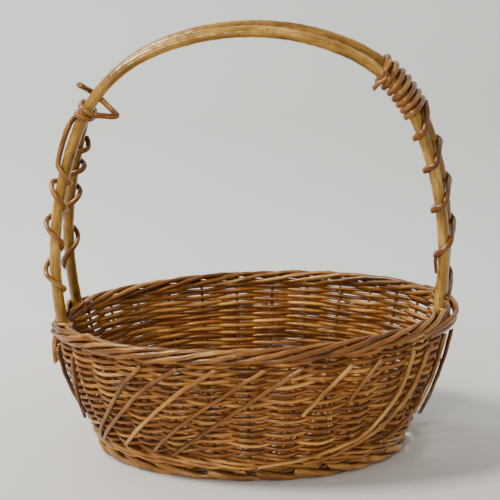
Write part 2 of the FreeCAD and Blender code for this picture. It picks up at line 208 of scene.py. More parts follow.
def willow(name, dark, middle, pale, gloss, coat, speckle):
    """Varnished willow: a tone for each rod, grain along it, specks, pale cut ends and painted shade
    where rods touch.
    """
    n = Nodes(name)
    grain = n.attribute("grain").outputs["Vector"]
    tone = n.attribute("tone").outputs["Fac"]
    cut = n.attribute("cut").outputs["Fac"]
    painted_crevice_shade = n.attribute("painted_crevice_shade").outputs["Fac"]
    patches = n.noise(n.scaled(grain, (90, 90, 26)), 1.0, 3.0)
    streaks = n.noise(n.scaled(grain, (900, 900, 45)), 1.0, 4.0, 0.65)
    fibres = n.noise(n.scaled(grain, (2600, 2600, 120)), 1.0, 2.0)
    specks = n.noise(n.scaled(grain, (420, 420, 300)), 1.0, 2.0)
    rings = n.noise(n.scaled(grain, (300, 300, 170)), 1.0, 3.0)
    shade = n.math("ADD", tone, n.map(patches, 0.3, 0.7, -0.3, 0.3))
    shade = n.math("ADD", shade, n.map(streaks, 0.3, 0.7, -0.2, 0.2))
    colour = n.ramp(shade, [(0.0, dark), (0.5, middle), (1.0, pale)])
    marks = n.map(specks, 0.64, 0.72, 0.0, speckle)
    colour = n.mix(marks, colour, linear(48, 20, 6))
    colour = n.mix(n.map(cut, 0.0, 1.0, 0.0, 0.7), colour, linear(190, 148, 92))
    # painted shade: the sides of each rod that face its neighbours are darkened towards a deep brown
    painted_shade_amount = n.map(n.math("POWER", painted_crevice_shade, 1.4), 0.0, 1.0, 0.0, 0.88)
    colour = n.mix(painted_shade_amount, colour, linear(40, 13, 1))
    n.join(colour, "Base Color")
    n.join(n.map(streaks, 0.25, 0.75, gloss - 0.08, gloss + 0.12), "Roughness")
    bump = n.add("ShaderNodeBump", {"Strength": 0.35, "Distance": 0.0004, "Height": fibres})
    second = {"Strength": 0.4, "Distance": 0.0006, "Height": rings, "Normal": bump.outputs["Normal"]}
    n.join(n.add("ShaderNodeBump", second).outputs["Normal"], "Normal")
    n.shader.inputs["Coat Weight"].default_value = coat
    n.shader.inputs["Coat Roughness"].default_value = 0.14
    n.shader.inputs["Coat Tint"].default_value = (1.0, 0.93, 0.70, 1)
    n.shader.inputs["Specular Tint"].default_value = (1.0, 0.86, 0.55, 1)
    n.shader.inputs["IOR"].default_value = 1.5
    return n.material


def backdrop_material():
    """A pale studio surface, with painted shade that makes it a little darker and warmer towards the
    front of the floor.
    """
    n = Nodes("studio_surface")
    place = n.add("ShaderNodeTexCoord").outputs["Object"]
    cloud = n.noise(place, 1.6, 2.0)
    pale = n.mix(cloud, linear(228, 229, 224), linear(236, 237, 232))
    # painted shade: the floor is mixed towards a darker, warmer grey as it comes nearer the front
    depth = n.add("ShaderNodeSeparateXYZ", {0: place}).outputs[1]
    n.join(n.mix(n.map(depth, -0.45, 0.45, 1.0, 0.0), pale, linear(204, 196, 186)), "Base Color")
    n.shader.inputs["Roughness"].default_value = 0.9
    n.shader.inputs["Specular IOR Level"].default_value = 0.1
    return n.material


HANDLE_WILLOW = willow("handle_willow", linear(98, 62, 14), linear(168, 124, 48),
                       linear(238, 204, 124), 0.25, 0.55, 0.8)
BINDING_WILLOW = willow("binding_willow", linear(66, 28, 8), linear(124, 70, 24),
                        linear(192, 138, 66), 0.27, 0.4, 0.6)
STAKE_WILLOW = willow("stake_willow", linear(72, 34, 9), linear(132, 78, 28),
                      linear(206, 150, 80), 0.30, 0.4, 0.6)
WEAVER_WILLOW = willow("weaver_willow", linear(78, 35, 6), linear(148, 84, 26),
                       linear(222, 162, 82), 0.30, 0.4, 0.6)
BASE_WILLOW = willow("base_willow", linear(104, 58, 18), linear(146, 92, 36),
                     linear(180, 130, 68), 0.5, 0.1, 0.3)


# ---------------------------------------------------------------- rods

def smooth_line(points, per_span):
    """A Catmull-Rom line through the points."""
    points = np.asarray(points, float)
    if per_span <= 1:
        return points
    ends = np.vstack([2 * points[0] - points[1], points, 2 * points[-1] - points[-2]])
    before, start, stop, after = (group[:, None, :] for group in
                                  (ends[:-3], ends[1:-2], ends[2:-1], ends[3:]))
    t = (np.arange(per_span) / per_span)[None, :, None]
    line = 0.5 * (2 * start + (stop - before) * t
                  + (2 * before - 5 * start + 4 * stop - after) * t ** 2
                  + (3 * start - before - 3 * stop + after) * t ** 3)
    return np.vstack([line.reshape(-1, 3), points[-1]])


def unit(vectors):
    """The same directions, one long."""
    return vectors / np.linalg.norm(vectors, axis=-1, keepdims=True)


def waves(along, wavelengths, size):
    """Smooth random wandering along a length, about size high."""
    total = np.zeros_like(along)
    for wavelength in wavelengths:
        total += np.sin(TAU * along / wavelength + rng.uniform(0, TAU)) * rng.uniform(0.5, 1)
    return total * size / len(wavelengths)


SHORT_WAVES = (0.021, 0.037, 0.071)
LONG_WAVES = (0.19, 0.34, 0.6)
THICKNESS_WAVES = (0.013, 0.031)
END_FADE = 0.012
JOINT_SPACING, JOINT_WIDTH = 0.085, 0.0022


class RodSet:
    """Willow rods gathered into one piece."""

    def __init__(self, sides=10):
        self.sides = sides
        self.count = 0
        self.points, self.quads, self.caps = [], [], []
        # the last of these marks is painted shade on the sides where rods touch their neighbours
        self.marks = {"grain": [], "tone": [], "cut": [], "painted_crevice_shade": []}

    def add(self, line, radius, taper=0.25, wander=0.0003, tone=0.5, per_span=6, joint=0.09,
            facing=None, two_sided=False, flatten=0.0, wavelengths=SHORT_WAVES):
        """One rod along a line. It tapers, wanders, swells at its joints and ends in a cut.

        facing is the direction of open air at each point: the rod's other sides, where it touches its
        neighbours, are darkened with painted shade.
        """
        path = smooth_line(line, per_span)
        steps = np.linalg.norm(np.diff(path, axis=0), axis=1)
        along = np.concatenate([[0], np.cumsum(steps)])
        length = along[-1]
        fade = np.clip(np.minimum(along, length - along) / END_FADE, 0, 1)
        for axis in range(3):
            path[:, axis] += waves(along, wavelengths, wander) * fade
        radii = radius * (1 + taper * (0.5 - along / length))
        radii = radii * (1 + waves(along, THICKNESS_WAVES, 0.035))
        if joint:
            for place in np.arange(rng.uniform(0.02, 0.09), length, JOINT_SPACING):
                place += rng.uniform(-0.02, 0.02)
                radii = radii * (1 + joint * np.exp(-((along - place) / JOINT_WIDTH) ** 2))
        tangents = unit(np.gradient(path, axis=0))
        if facing is None:
            across = self._carried(tangents)
        else:
            outward = smooth_line(facing, per_span)
            across = unit(np.cross(tangents, outward))
        tone = float(np.clip(tone + rng.normal(0, 0.14), 0.02, 0.98))
        self._skin(path, radii, along, tangents, across, tone, flatten,
                   None if facing is None else unit(outward), two_sided)

    def _carried(self, tangents):
        """A side direction carried along the rod without twist."""
        side = np.cross(tangents[0], (0.13, 0.21, 0.97))
        across = []
        for tangent in tangents:
            side = side - tangent * side.dot(tangent)
            side = side / np.linalg.norm(side)
            across.append(side)
        return np.array(across)

    def _skin(self, path, radii, along, tangents, across, tone, flatten, outward, two_sided):
        """Rings of points round the path, the end ones smaller and cut at a slant."""
        order = np.concatenate([[0], np.arange(len(path)), [len(path) - 1]])
        path, radii, along, tangents, across = (
            values[order] for values in (path, radii, along, tangents, across))
        up = np.cross(across, tangents)
        bevel = min(0.3 * radii[0], 0.0006)
        path[1] += tangents[1] * bevel
        path[-2] -= tangents[-2] * bevel
        radii[[0, -1]] *= 0.8
        turn = np.arange(self.sides) / self.sides * TAU
        oval = 1 + 0.04 * np.sin(2 * turn + rng.uniform(0, TAU)) + 0.02 * np.sin(3 * turn)
        cos, sin = np.cos(turn) * oval, np.sin(turn) * oval
        normals = across[:, None, :] * cos[None, :, None] + up[:, None, :] * sin[None, :, None]
        reach = (across[:, None, :] * (cos * (1 + flatten))[None, :, None]
                 + up[:, None, :] * (sin * (1 - flatten))[None, :, None])
        rings = path[:, None, :] + reach * radii[:, None, None]
        slant = 0.5 * np.cos(turn + rng.uniform(0, TAU))
        rings[:2] += tangents[:2, None, :] * (slant * radii[1])[None, :, None]
        rings[-2:] += tangents[-2:, None, :] * (slant * radii[-2])[None, :, None]
        count = len(path)
        ring = self.count + np.arange(count)[:, None] * self.sides
        here = ring[:-1] + np.arange(self.sides)[None, :]
        beside = ring[:-1] + (np.arange(self.sides)[None, :] + 1) % self.sides
        quads = np.stack([here, beside, beside + self.sides, here + self.sides], axis=-1)
        self.quads.append(quads.reshape(-1, 4))
        self.caps.append((self.count + np.arange(self.sides))[::-1])
        self.caps.append(self.count + (count - 1) * self.sides + np.arange(self.sides))
        self.points.append(rings.reshape(-1, 3))
        self.count += count * self.sides
        offset = rng.uniform(-4, 4, 3)
        grain = np.empty((count, self.sides, 3))
        grain[:, :, 0] = radii[:, None] * cos + offset[0]
        grain[:, :, 1] = radii[:, None] * sin + offset[1]
        grain[:, :, 2] = along[:, None] + offset[2]
        cut = np.zeros((count, self.sides))
        cut[[0, -1]] = 1.0
        # painted shade: the sides that face away from open air, where rods touch, are marked for
        # darkening
        painted_crevice_shade = np.zeros((count, self.sides))
        if outward is not None:
            open_air = np.einsum("rsk,rk->rs", normals, outward[order])
            painted_crevice_shade = 1 - np.abs(open_air) if two_sided else 0.5 - 0.5 * open_air
        self.marks["grain"].append(grain.reshape(-1, 3))
        self.marks["tone"].append(np.full(count * self.sides, tone))
        self.marks["cut"].append(cut.ravel())
        self.marks["painted_crevice_shade"].append(np.clip(painted_crevice_shade, 0, 1).ravel())

    def build(self, name, material, slot, nodes):
        """The piece itself, standing for the named CAD nodes."""
        mesh = bpy.data.meshes.new(name)
        points = np.vstack(self.points)
        points[:, 2] = np.maximum(points[:, 2], 0.0)  # pressed flat where it stands on the floor
        quads = np.vstack(self.quads)
        faces = quads.tolist() + [cap.tolist() for cap in self.caps]
        mesh.from_pydata(points.tolist(), [], faces)
        mesh.polygons.foreach_set("use_smooth", [True] * len(quads) + [False] * len(self.caps))
        for label, values in self.marks.items():
            kind, key = ("FLOAT_VECTOR", "vector") if label == "grain" else ("FLOAT", "value")
            layer = mesh.attributes.new(label, kind, "POINT")
            layer.data.foreach_set(key, np.concatenate(values).ravel())
        mesh.materials.append(material)
        mesh.update()
        piece = bpy.data.objects.new(name, mesh)
        bpy.context.scene.collection.objects.link(piece)
        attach(piece, "root")
        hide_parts(*nodes)
        return piece


# ---------------------------------------------------------------- the wall's shape

def wall_axes(level):
    """Half length and half width of the oval of stakes at a level."""
    rise = (level - BASE_LEVEL) / (RIM_LEVEL - BASE_LEVEL)
    flare = rise + WALL_BULGE * rise * (1 - rise)
    return (BASE_HALF_LENGTH + flare * (RIM_HALF_LENGTH - BASE_HALF_LENGTH),
            BASE_HALF_WIDTH + flare * (RIM_HALF_WIDTH - BASE_HALF_WIDTH))


def oval(half_length, half_width, angle, level, offset=0.0):
    """Points on an oval and their outward normals; angles in degrees."""
    cos, sin = np.cos(np.radians(angle)), np.sin(np.radians(angle))
    normal = np.stack([cos / half_length, sin / half_width, np.zeros_like(cos)], axis=-1)
    normal /= np.linalg.norm(normal, axis=-1)[..., None]
    point = np.stack([half_length * cos, half_width * sin, level + np.zeros_like(cos)], axis=-1)
    return point + normal * np.asarray(offset)[..., None], normal


def wall(angle, level, offset=0.0):
    """Points off the stake line, square to the flared wall, which is higher at its right end."""
    angle, level = np.asarray(angle, float), np.asarray(level, float)
    step = 0.002
    leaning = level * (1 + RIM_LEAN * np.cos(np.radians(angle)))
    point, normal = oval(*wall_axes(level), angle, leaning)
    higher = oval(*wall_axes(level + step), angle, leaning)[0]
    slope = np.linalg.norm(higher - point, axis=-1) / step
    normal = unit(normal - slope[..., None] * np.array((0.0, 0.0, 1.0)))
    return point + normal * np.asarray(offset)[..., None], normal


def stake_angle(place):
    """The angle of a place round the wall, counted in stakes."""
    return FIRST_STAKE + np.asarray(place, float) * 360 / STAKES


# ---------------------------------------------------------------- the handle's shape

def hoop_centres():
    """Centres of the tangent crown, shoulder and side arcs, as in the CAD."""
    crown = np.array((0.0, HOOP_HEIGHT - CROWN_RADIUS))
    side = np.array((HOOP_HALF_WIDTH - SIDE_RADIUS, HOOP_WAIST))
    gap = side - crown
    distance = np.linalg.norm(gap)
    crown_reach, side_reach = CROWN_RADIUS - SHOULDER_RADIUS, SIDE_RADIUS - SHOULDER_RADIUS
    toward = (crown_reach ** 2 - side_reach ** 2 + distance ** 2) / (2 * distance)
    across = math.sqrt(crown_reach ** 2 - toward ** 2)
    axis = gap / distance
    shoulder = crown + toward * axis + across * np.array((axis[1], -axis[0]))
    return crown, shoulder, side


CROWN, SHOULDER, SIDE = hoop_centres()
CROWN_TURN = math.atan2(*(SHOULDER - CROWN))
SIDE_TURN = math.atan2(*(SHOULDER - SIDE))
SHOULDER_LEVEL = SIDE[1] + SIDE_RADIUS * math.cos(SIDE_TURN)
LEG_TOP = SIDE[1] - SIDE_RADIUS * math.sin(LEG_SLOPE)
LEG_TOP_HALF_WIDTH = SIDE[0] + SIDE_RADIUS * math.cos(LEG_SLOPE)


def hoop_section(level):
    """Half width and outward direction of the hoop at a level below its crown."""
    if level < LEG_TOP:
        half_width = LEG_TOP_HALF_WIDTH - (LEG_TOP - level) * math.tan(LEG_SLOPE)
        return half_width, (math.cos(LEG_SLOPE), -math.sin(LEG_SLOPE))
    centre, radius = (SHOULDER, SHOULDER_RADIUS) if level > SHOULDER_LEVEL else (SIDE, SIDE_RADIUS)
    rise = (level - centre[1]) / radius
    run = math.sqrt(1 - rise ** 2)
    return centre[0] + radius * run, (run, rise)


def hoop_outline():
    """The hoop's middle line from the right leg's end to the left leg's end, in its own plane."""
    def arc(centre, radius, first, last, count):
        turns = np.linspace(first, last, count, endpoint=False)
        return [(centre[0] + radius * math.sin(t), centre[1] + radius * math.cos(t)) for t in turns]
    low = (hoop_section(LEG_END)[0], LEG_END)
    right = [low, ((low[0] + LEG_TOP_HALF_WIDTH) / 2, (LEG_END + LEG_TOP) / 2)]
    right += arc(SIDE, SIDE_RADIUS, math.pi / 2 + LEG_SLOPE, SIDE_TURN, 14)
    right += arc(SHOULDER, SHOULDER_RADIUS, SIDE_TURN, CROWN_TURN, 7)
    right += arc(CROWN, CROWN_RADIUS, CROWN_TURN, 0, 6)
    left = [(-x, z) for x, z in right[::-1]]
    return right + [(0.0, HOOP_HEIGHT)] + left


def place_hoop(name, point):
    """A point of the hoop's own plane, put where the hoop stands."""
    shift, place, lift, tilt, turn = HOOPS[name]
    tilt, turn = math.radians(tilt), math.radians(turn)
    x, y, z = point[0], 0.0, point[1] - HOOP_HEIGHT
    if name == "back" and x < 0:
        x -= KNOT_PULL * math.exp(-((point[1] - KNOT_PULL_LEVEL) / KNOT_PULL_REACH) ** 2)
    y, z = y * math.cos(tilt) - z * math.sin(tilt), y * math.sin(tilt) + z * math.cos(tilt)
    x, y = x * math.cos(turn) - y * math.sin(turn), x * math.sin(turn) + y * math.cos(turn)
    return np.array((x + shift, y + place, z + HOOP_HEIGHT + lift))


def leg(name, side, level):
    """The middle of a handle rod at a level, side 1 on the right and -1 on the left."""
    return place_hoop(name, (side * hoop_section(level)[0], level))


# ---------------------------------------------------------------- the handle

def make_handle():
    for name in ("front", "back"):
        rods = RodSet(sides=28)
        line = np.array([place_hoop(name, point) for point in hoop_outline()])
        rods.add(line, HANDLE_RADIUS * 0.99, taper=0.06, wander=0.0005, tone=0.52, per_span=14,
                 joint=0.04, wavelengths=LONG_WAVES)
        rods.build(f"handle_{name}", HANDLE_WILLOW, "handle_willow", [f"handle_{name}_rod"])


BOTH, FRONT, BACK = ("front", "back"), ("front",), ("back",)


def around_handle(side, level, turn, held=BOTH, radius=WRAP_RADIUS):
    """A point wound round the held handle rods and its outward direction; turn 0 is outside."""
    run, rise = hoop_section(level)[1]
    along = np.array((-side * rise, 0, run))
    front, back = leg("front", side, level), leg("back", side, level)
    across = (back - front) - along * (back - front).dot(along)
    middle, half = front + across / 2, np.linalg.norm(across) / 2
    if len(held) == 1:
        middle, half = leg(held[0], side, level), 0.0
    across = unit(across)
    outward = np.cross(across, along) * side
    if len(held) == 1:  # slack on the side away from the other rod
        middle = middle + outward * (WRAP_SLACK if held == FRONT else -WRAP_SLACK)
    clear = HANDLE_RADIUS + 0.95 * radius
    cos, sin = math.cos(TAU * turn), math.sin(TAU * turn)
    nearer_rod = max(-1.0, min(1.0, 2 * sin))
    facing = outward * cos + across * sin
    return middle + outward * cos * clear + across * (sin * clear + nearer_rod * half), facing


def wound(rods, side, stages, held=BOTH, radius=WRAP_RADIUS, tone=0.5, flatten=0.0, before=()):
    """A rod wound through stages of turn and level, after any loose points before it."""
    line = [np.array(point) for point in before]
    facing = [np.array((0.0, -1.0, 0.0))] * len(line)
    for (turn, level), (next_turn, next_level) in zip(stages, stages[1:]):
        steps = max(1, round(abs(next_turn - turn) * 14))
        for share in np.arange(steps) / steps:
            point, outward = around_handle(side, level + share * (next_level - level),
                                           turn + share * (next_turn - turn), held, radius)
            line.append(point)
            facing.append(outward)
    point, outward = around_handle(side, stages[-1][1], stages[-1][0], held, radius)
    rods.add(line + [point], radius, taper=0.12, wander=0.0003, tone=tone, per_span=4, joint=0.05,
             facing=facing + [outward], flatten=flatten)


# turns and levels of the rods wound round the handle, on the way down
KNOT = [(-0.42, 0.3405), (0.0, 0.3425), (0.5, 0.337), (0.9, 0.3345), (1.35, 0.3285)]
LEFT_WRAP = [(0.12, 0.331), (0.0, 0.322), (-0.02, 0.303), (-0.12, 0.288), (-0.45, 0.272),
             (-1.0, 0.269), (-1.45, 0.248), (-2.0, 0.232), (-2.45, 0.213), (-3.0, 0.186),
             (-3.45, 0.167), (-3.7, 0.160)]
LEFT_WRAP_BACK = [(0.3, 0.306), (0.5, 0.297), (1.0, 0.286), (1.5, 0.276), (2.0, 0.262),
                  (2.5, 0.248), (3.0, 0.223), (3.5, 0.199), (4.0, 0.170), (4.2, 0.161)]
RIGHT_WRAP = [(0.08, 0.339), (0.0, 0.332), (-0.13, 0.322), (-0.47, 0.316), (-1.0, 0.300),
              (-1.13, 0.290), (-1.47, 0.284), (-2.0, 0.262), (-2.13, 0.251), (-2.47, 0.244),
              (-3.0, 0.220), (-3.13, 0.211), (-3.47, 0.197), (-4.0, 0.164), (-4.1, 0.157)]


# short ends beside the right binding: radius, tone, and points as (x, z) in front of the rods
BINDING_ENDS_FRONT = -0.0165
BINDING_ENDS = [
    (0.0019, 0.5, [(0.1255, 0.3775), (0.1292, 0.3832), (0.1331, 0.3905)]),
    (0.0026, 0.4, [(0.1290, 0.3745), (0.1228, 0.3693), (0.1160, 0.3625)]),
    (0.0010, 0.2, [(0.1240, 0.3690), (0.1205, 0.3690), (0.1182, 0.3684)]),
]


def make_left_knot():
    """A knot whose loose end comes over the handle, behind it, and out to a folded tip."""
    knot = RodSet(sides=14)
    behind = around_handle(-1, 0.356, 0.25)[0]
    tip = np.array((-0.1313, -0.004, 0.3353))
    strand = [(-0.1674, 0.004, 0.364), (-0.1590, behind[1], 0.3548),
              (-0.1478, behind[1] * 0.7, 0.3475), tip + (-0.0025, 0.003, 0.0025), tip,
              tip + (-0.0028, -0.003, -0.0005), (-0.1485, -0.0135, 0.3368)]
    wound(knot, -1, KNOT, radius=WRAP_RADIUS * 1.05, tone=0.25, before=strand)
    knot.build("left_knot", BINDING_WILLOW, "binding_willow", ["left_knot_rod"])


def make_left_wraps():
    """One rod round each handle rod, wound the opposite way to the other."""
    first = RodSet(sides=14)
    wound(first, -1, LEFT_WRAP, FRONT, tone=0.5)
    snag = around_handle(-1, 0.321, 0.0, FRONT)[0]
    first.add([snag, snag + (-0.0028, 0, -0.0012), snag + (-0.0045, 0, -0.005)], 0.0009, tone=0.2,
              joint=0)
    first.build("left_wrap_1", BINDING_WILLOW, "binding_willow", ["left_wrap_rod_1"])
    second = RodSet(sides=14)
    wound(second, -1, LEFT_WRAP_BACK, BACK, tone=0.4)
    second.build("left_wrap_2", BINDING_WILLOW, "binding_willow", ["left_wrap_rod_2"])


def make_right_binding():
    """Seven tight turns, with short ends that stick out above and below them."""
    rods = RodSet(sides=14)
    wound(rods, 1, [(0.3, 0.3795), (-6.7, 0.337)], radius=BINDING_RADIUS, tone=0.75, flatten=0.14)
    for radius, tone, points in BINDING_ENDS:
        line = [(x, BINDING_ENDS_FRONT, z) for x, z in points]
        rods.add(line, radius, tone=tone, joint=0)
    rods.build("right_binding", BINDING_WILLOW, "binding_willow", ["right_binding_rod"])


def make_right_wrap():
    rods = RodSet(sides=14)
    wound(rods, 1, RIGHT_WRAP, radius=WRAP_RADIUS * 1.1, tone=0.5, flatten=0.06)
    inner = around_handle(1, 0.192, -0.47)[0]
    rods.add([inner + (0.003, 0.001, 0.006), inner, inner + (0.001, -0.001, -0.014)], 0.0019,
             tone=0.3, joint=0)
    rods.build("right_wrap", BINDING_WILLOW, "binding_willow", ["right_wrap_rod"])


# ---------------------------------------------------------------- the wall

def leg_at(place, leaning):
    """How near a place round the wall is to a handle leg, and that leg's middle."""
    for index, (name, side) in LEG_STAKES.items():
        gap = abs((place - index + STAKES / 2) % STAKES - STAKES / 2)
        if gap < 1 and leaning > LEG_END - 0.003:
            return 0.5 + 0.5 * math.cos(math.pi * gap), leg(name, side, leaning)
    return 0.0, None


def weave_point(place, level, side, radius):
    """Where a rod passes, side 1 outside a stake and -1 inside it, and the wall's outside."""
    point, normal = wall(float(stake_angle(place)), level)
    away = STAKE_RADIUS + 0.9 * radius
    nearness, middle = leg_at(place, point[2])
    if nearness:
        foot = wall(float(stake_angle(round(place))), level)[0]
        point = point + nearness * (middle - foot) * (1, 1, 0)
        away += nearness * (HANDLE_RADIUS - STAKE_RADIUS)
    return point + normal * side * away, normal


# each wave in the rows: height, waves round the wall, shift from row to row, and start
ROW_WAVES = [(0.0011, 3, 0.11, 0), (0.0008, 7, -0.2, 1), (0.0006, 13, 0.33, 2)]
# the place where the top rows sag away from the border, in degrees and metres
GAP_ANGLE, GAP_WIDTH, GAP_HEIGHT = 158, 13, 0.0042


def unevenness(place, row):
    """How much the rows rise and dip together round the wall, less near its two edges."""
    angle = TAU * place / STAKES
    hide = min(1.0, row / 3, abs(ROWS + 1 - row) / 4)
    lift = sum(height * math.sin(count * angle + shift * row + start)
               for height, count, shift, start in ROW_WAVES) * hide
    gap = math.exp(-((float(stake_angle(place)) % 360 - GAP_ANGLE) / GAP_WIDTH) ** 2)
    return lift - GAP_HEIGHT * gap * (row / ROWS) ** 5


def make_weave():
    """One rising spiral of rods, each laid in behind a stake where the last one ends."""
    per_place = 8
    total = (ROWS + 1) * STAKES
    lower, upper = RodSet(sides=12), RodSet(sides=12)
    place = 0
    while place < total:
        last = min(place + int(rng.integers(24, 37)), total)
        places = np.arange(place * per_place, last * per_place + 1) / per_place
        radius = WEAVER_RADIUS * rng.uniform(0.97, 1.08)
        jitter = np.interp(places, np.arange(place, last + 1), rng.normal(0, 0.0002, last + 1 - place))
        line, facing = [], []
        for spot, off in zip(places, jitter):
            row = spot / STAKES
            level = FIRST_ROW + (row - 0.5) * ROW_PITCH + unevenness(spot, row) + off
            side = -math.cos(math.pi * spot)
            point, normal = weave_point(spot, level, side * 1.04, radius)
            line.append(point)
            facing.append(normal)
        half = lower if place < total / 2 else upper
        half.add(line, radius, taper=0.16, wander=0.0002, per_span=1, joint=0.12, facing=facing,
                 two_sided=True)
        place = last
    names = node_names("side_weaver")
    middle = len(names) // 2
    lower.build("side_weave_lower", WEAVER_WILLOW, "weaver_willow", names[:middle])
    upper.build("side_weave_upper", WEAVER_WILLOW, "weaver_willow", names[middle:])


def make_wale():
    """Two rounds of three thicker rods, each before two stakes and behind the third."""
    rods = RodSet(sides=14)
    radius, half_height = 0.0022, 0.0018
    for round_level, start in ((0.0186, 0), (0.0236, 1)):
        for number in range(3):
            line, facing = [], []
            for step in range(STAKES + 1):
                place = 3 * number + start + step
                phase = (step - number) % 3
                level = round_level + (0, half_height, -half_height)[phase]
                point, normal = weave_point(place, level, -1 if phase == 0 else 1.1, radius)
                line.append(point)
                facing.append(normal)
            rods.add(line, radius, taper=0.2, wander=0.0004, per_span=8, facing=facing,
                     two_sided=True)
    rods.build("bottom_wale", WEAVER_WILLOW, "weaver_willow", node_names("wale_rod"))


def make_stakes():
    rods = RodSet(sides=12)
    for index in range(STAKES):
        top = LEG_END - 0.006 if index in LEG_STAKES else STAKE_HIGH
        levels = np.linspace(STAKE_LOW, top, STAKE_POINTS)
        line = wall(np.full(STAKE_POINTS, float(stake_angle(index))), levels)[0]
        rods.add(line, STAKE_RADIUS, taper=0.15, wander=0.0002, per_span=5)
    rods.build("wall_stakes", STAKE_WILLOW, "stake_willow", node_names("stakes_"))


# ---------------------------------------------------------------- rolled borders

# how far along the border a leg opens it, and the slack beside and between its rods there
LEG_OPENING_REACH, LEG_SLACK, ROPE_SLACK = 0.017, 0.0004, 0.0003


def rope_point(axes, angle, level, lean, spread, radius, turn, legs):
    """A point of a rod rolled round a border and its open side; turn 0 is outside."""
    leaning = level * (1 + lean * math.cos(math.radians(angle)))
    centre, normal = oval(*axes, np.array(angle), np.array(leaning))
    out, up = math.cos(TAU * turn) * spread, math.sin(TAU * turn) * spread
    facing = normal * math.cos(TAU * turn) + np.array((0, 0, math.sin(TAU * turn)))
    if legs:
        nearness, middle = 0.0, centre
        for name, side in LEG_STAKES.values():
            post = leg(name, side, leaning)
            weight = math.exp(-(np.linalg.norm(post - centre) / LEG_OPENING_REACH) ** 2)
            if weight > nearness:
                nearness, middle = weight, post
        aside = HANDLE_RADIUS + radius + LEG_SLACK
        out += nearness * (math.copysign(aside, out) - out)
        up += nearness * (math.copysign(radius + ROPE_SLACK, up) - up)
        centre = centre + (middle - centre) * nearness
    return centre + normal * out + np.array((0, 0, up)), facing


def roll_border(rods, count, spans, axes, level, lean, spread, radius, first_turn, roll, tone,
                legs):
    """Short rods rolled into a rope, a new one coming in at each stake."""
    for index in range(count):
        start, stop = rng.uniform(-0.3, 0.3), spans + rng.uniform(-0.4, 0.2)
        fat, wide = radius * rng.uniform(0.9, 1.06), spread * rng.uniform(0.94, 1.08)
        line, facing = [], []
        for part in np.linspace(start / spans, stop / spans, 4 * spans + 1):
            angle = FIRST_STAKE + (index + part * spans) * 360 / count
            point, outward = rope_point(axes, angle, level, lean, wide, radius,
                                        first_turn + roll * part, legs)
            line.append(point)
            facing.append(outward)
        rods.add(line, fat, taper=0.25, wander=0.0007, tone=tone, per_span=6, facing=facing)


# Loose rods on the top border: radius, tone, and bends as angle in degrees, distance outwards
# and height above the border's middle. A twig that lifts off the rim, two loops outside the
# right legs, and a stub that hangs at the left.
BORDER_RODS = [
    (0.0021, 0.5, [(206, 0.004, 0.002), (212, 0.003, 0.0062), (216, 0.002, 0.0098),
                   (220, 0.001, 0.0078), (228, 0, 0.0042), (238, -0.002, 0.003)]),
    (0.0026, 0.3, [(-34, 0.006, -0.004), (-22, 0.009, -0.002), (-12, 0.0118, 0.0005),
                   (-3, 0.0118, 0.0025), (6, 0.0095, 0.005), (15, 0.006, 0.0060),
                   (24, 0.003, 0.0055)]),
    (0.0025, 0.45, [(-30, 0.0065, -0.0075), (-18, 0.0095, -0.0065), (-8, 0.0110, -0.0045),
                    (3, 0.0100, -0.0015), (12, 0.0070, 0.001), (20, 0.004, 0.002)]),
    (0.0024, 0.45, [(189, 0.004, -0.006), (191, 0.0065, -0.014), (192, 0.007, -0.024),
                    (192.5, 0.0065, -0.033)]),
]


def border_rod(rods, radius, tone, stages):
    line = []
    for angle, out, up in stages:
        leaning = RIM_LEVEL * (1 + RIM_LEAN * math.cos(math.radians(angle)))
        line.append(oval(RIM_HALF_LENGTH, RIM_HALF_WIDTH, np.array(float(angle)),
                         np.array(leaning + up), np.array(out))[0])
    rods.add(line, radius, tone=tone, wander=0.0004, per_span=8)


def make_borders():
    top = RodSet(sides=16)
    roll_border(top, STAKES, 5, (RIM_HALF_LENGTH, RIM_HALF_WIDTH), RIM_LEVEL, RIM_LEAN,
                BORDER_SPREAD, BORDER_RADIUS, -0.27, 1.0, 0.45, True)
    for radius, tone, stages in BORDER_RODS:
        border_rod(top, radius, tone, stages)
    top.build("top_border", STAKE_WILLOW, "stake_willow", node_names("top_border"))
    foot = RodSet(sides=16)
    roll_border(foot, FOOT_RODS, 3, (FOOT_HALF_LENGTH, FOOT_HALF_WIDTH), FOOT_LEVEL, 0.0,
                FOOT_SPREAD, FOOT_RADIUS, 0.12, -1, 0.75, False)
    foot.build("foot_border", STAKE_WILLOW, "stake_willow", node_names("foot_border"))


# ---------------------------------------------------------------- the base

LONG_STICKS, LONG_GAP, LONG_RADIUS = 5, 0.010, 0.003
CROSS_STICKS, CROSS_GAP, CROSS_RADIUS = 7, 0.017, 0.0045
CROSS_ZONE, LONG_ZONE = 0.061, 0.025
STICK_LEVEL = BASE_LEVEL + 0.0015
STICK_REACH = (0.146, 0.108)
BASE_RINGS = 22
BASE_WEAVER_RADIUS = 0.0015


def base_sticks():
    fan = 360 / (2 * (LONG_STICKS + CROSS_STICKS))
    sticks = []
    for number in range(LONG_STICKS):
        place = number - (LONG_STICKS - 1) / 2
        end = oval(*STICK_REACH, np.array(place * fan), np.array(STICK_LEVEL))[0]
        bend = np.array((CROSS_ZONE, place * LONG_GAP, STICK_LEVEL))
        flip = np.array((-1, 1, 1))
        sticks.append((LONG_RADIUS, [(end, bend), (end * flip, bend * flip)]))
    for number in range(CROSS_STICKS):
        place = number - (CROSS_STICKS - 1) / 2
        end = oval(*STICK_REACH, np.array(90 - place * fan), np.array(STICK_LEVEL))[0]
        bend = np.array((place * CROSS_GAP, LONG_ZONE, STICK_LEVEL))
        flip = np.array((1, -1, 1))
        sticks.append((CROSS_RADIUS, [(end, bend), (end * flip, bend * flip)]))
    return sticks


